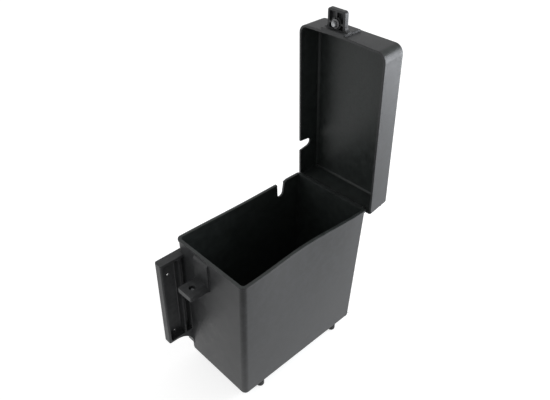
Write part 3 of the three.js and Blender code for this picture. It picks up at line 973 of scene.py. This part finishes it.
class BATTERYBOX_OT_hinge(bpy.types.Operator):
    """Makes the hinge's pin and the two caps on its ends"""

    bl_idname = "battery_box.hinge"
    bl_label = "Make the hinge pin"

    def execute(self, context):
        steel = finish_once("Zinc-plated steel", zinc_plated_steel, shade("steel"))
        finish_piece(make_pin(), "box", "hinge_pin", steel)
        right = make_cap()
        left = duplicate(right, "cap_left")
        left.matrix_world = Matrix.Translation((0, 2 * HINGE[0] * MM, 0)) @ Matrix.Rotation(math.pi, 4, "Z")
        settle(left)
        finish_piece(right, "box", "hinge_cap_right", steel)
        finish_piece(left, "box", "hinge_cap_left", steel)
        return {"FINISHED"}


class BATTERYBOX_OT_feet(bpy.types.Operator):
    """Makes the four push-in feet"""

    bl_idname = "battery_box.feet"
    bl_label = "Make the feet"

    def execute(self, context):
        rubber = vulcanised_rubber("Black rubber", shade("rubber"))
        first = make_foot()
        for node, (x, y) in FOOT_PLACES.items():
            foot = duplicate(first, node + "_rubber")
            foot.location = (x * MM, y * MM, 0)
            settle(foot)
            finish_piece(foot, "box", node, rubber)
        bpy.data.objects.remove(first)
        return {"FINISHED"}


class BATTERYBOX_OT_latch(bpy.types.Operator):
    """Makes the closing screw, its washer, its retaining ring and the nut in the shelf"""

    bl_idname = "battery_box.latch"
    bl_label = "Make the latch hardware"

    def execute(self, context):
        steel = finish_once("Zinc-plated steel", zinc_plated_steel, shade("steel"))
        # The nut's steel is drawn darker: painted shade in the shelf's hole.
        shaded_steel = zinc_plated_steel("Steel with painted shade", shade("nut"))
        # The ring's rubber is pale partly as a painted highlight at the screw's base.
        ring_rubber_and_highlight = vulcanised_rubber("Grey rubber with painted highlight", shade("ring"))
        finish_piece(make_screw(), "closing_screw", "closing_screw", steel)
        washer = make_ring("washer", 6.2, LID_RIM + 11.1, 1.0, 0.2)
        finish_piece(washer, "lid", "closing_washer", steel)
        ring = make_ring("retaining_ring", 4.8, LID_RIM + 3.4, 1.6, 0.55)
        finish_piece(ring, "lid", "screw_retaining_ring", ring_rubber_and_highlight)
        finish_piece(make_nut(), "box", "shelf_nut", shaded_steel)
        return {"FINISHED"}


class BATTERYBOX_OT_studio(bpy.types.Operator):
    """Lays the pale floor, hangs the soft lights and sets up the camera"""

    bl_idname = "battery_box.studio"
    bl_label = "Set up the studio"

    def execute(self, context):
        lay_floor()
        light_studio()
        place_camera()
        return {"FINISHED"}


# ---- the studio ----


def front_to_back(tree, vector):
    """How far a vector reaches away from the camera's side of the box."""
    turn = {"Rotation": (0, 0, math.radians(-45))}
    turned = add_node(tree, "ShaderNodeMapping", turn, {"Vector": vector}).outputs["Vector"]
    return add_node(tree, "ShaderNodeSeparateXYZ", links={"Vector": turned}).outputs["Y"]


def lay_floor():
    """A wide white floor that shines by itself, to keep shadows faint, and dims towards the front."""
    deselect()
    bpy.ops.mesh.primitive_plane_add(size=30, location=(0, 0, 0))
    floor = bpy.context.object
    floor.name = "floor"
    finish, tree, shader, place = new_finish("White studio floor", Roughness=0.9)
    grain = speckle(tree, place, 4, 2.0)
    white = shade("floor")
    tint = mixed(tree, spread(tree, grain, 0.3, 0.7, 0, 1), white, darker(white, 0.96))
    tree.links.new(tint, shader.inputs["Base Color"])
    shader.inputs["Emission Color"].default_value = (1, 1, 1, 1)
    glow = bpy.context.scene.battery_box_lights.glow
    far, near = FLOOR_DIMS
    dimming = spread(tree, front_to_back(tree, place), far, near, 0.03 * glow, glow)
    tree.links.new(dimming, shader.inputs["Emission Strength"])
    floor.data.materials.append(finish)


def soft_light(name, power, tint, place, aim, width, height):
    """A rectangular soft light that faces a point."""
    deselect()
    bpy.ops.object.light_add(type="AREA", location=place)
    light = bpy.context.object
    light.name = name
    light.rotation_euler = (Vector(aim) - Vector(place)).to_track_quat("-Z", "Y").to_euler()
    light.data.shape = "RECTANGLE"
    light.data.size = width
    light.data.size_y = height
    light.data.energy = power
    light.data.color = tint


def light_studio():
    """A bright horizon that is darker on the camera's side, and two soft lights."""
    lights = bpy.context.scene.battery_box_lights
    world = bpy.data.worlds.new("Studio")
    bpy.context.scene.world = world
    world.use_nodes = True
    tree = world.node_tree
    tree.nodes.clear()
    way = add_node(tree, "ShaderNodeTexCoord").outputs["Generated"]
    height = add_node(tree, "ShaderNodeSeparateXYZ", links={"Vector": way}).outputs["Z"]
    settings = {"From Min": 0.0, "From Max": 0.5, "To Min": lights.horizon, "To Max": lights.sky}
    glow = add_node(tree, "ShaderNodeMapRange", settings, {"Value": height}).outputs["Result"]
    dimming = spread(tree, front_to_back(tree, way), -0.8, 0.0, lights.behind_camera, 1.0)
    glow = add_node(tree, "ShaderNodeMath", {"operation": "MULTIPLY"}, {0: glow, 1: dimming})
    glow = glow.outputs["Value"]
    back = add_node(tree, "ShaderNodeBackground", {"Color": (1, 1, 1, 1)}, {"Strength": glow})
    add_node(tree, "ShaderNodeOutputWorld", links={"Surface": back.outputs["Background"]})
    lid_side, front_wall = (0.06, 0.12, 0.3), (0, -0.05, 0.15)
    soft_light("side_light", lights.side, COOL_WHITE, (0.55, 0.9, 0.35), lid_side, 0.45, 0.8)
    soft_light("front_light", lights.front, WHITE, (-1.1, -1.2, 0.9), front_wall, 0.8, 0.8)


def place_camera():
    """Looks down on the box's front right corner."""
    deselect()
    bpy.ops.object.camera_add(
        location=(0.36982, -0.36572, 0.59793),
        rotation=[math.radians(angle) for angle in (53.788, -0.8198, 46.073)],
    )
    camera = bpy.context.object
    camera.name = "camera"
    camera.data.lens = 38.676
    camera.data.sensor_width = 36
    camera.data.sensor_fit = "HORIZONTAL"
    camera.data.clip_start = 0.01
    bpy.context.scene.camera = camera
    bpy.context.scene.view_settings.view_transform = "Standard"


# ---- the add-on ----

STEPS = (
    BATTERYBOX_OT_studio,
    BATTERYBOX_OT_tub,
    BATTERYBOX_OT_lid,
    BATTERYBOX_OT_hinge,
    BATTERYBOX_OT_feet,
    BATTERYBOX_OT_latch,
)
GROUPS = {
    "battery_box_sizes": BatteryBoxSizes,
    "battery_box_colours": BatteryBoxColours,
    "battery_box_lights": BatteryBoxLights,
}


class BATTERYBOX_PT_panel(bpy.types.Panel):
    """Lists the sizes, the colours, the lights and the steps"""

    bl_idname = "BATTERYBOX_PT_panel"
    bl_label = "Battery box"
    bl_space_type = "VIEW_3D"
    bl_region_type = "UI"
    bl_category = "Battery box"

    def draw(self, context):
        for group in GROUPS:
            settings = getattr(context.scene, group)
            column = self.layout.column(align=True)
            for name in settings.bl_rna.properties.keys():
                if name not in ("rna_type", "name"):
                    column.prop(settings, name)
        for step in STEPS:
            self.layout.operator(step.bl_idname)


CLASSES = (*GROUPS.values(), *STEPS, BATTERYBOX_PT_panel)


def register():
    for item in CLASSES:
        bpy.utils.register_class(item)
    for name, group in GROUPS.items():
        setattr(bpy.types.Scene, name, bpy.props.PointerProperty(type=group))


def unregister():
    for name in GROUPS:
        delattr(bpy.types.Scene, name)
    for item in reversed(CLASSES):
        bpy.utils.unregister_class(item)


def main():
    register()
    for step in STEPS:
        module, name = step.bl_idname.split(".")
        getattr(getattr(bpy.ops, module), name)()
    bpy.context.view_layer.update()


if __name__ == "__main__":
    main()
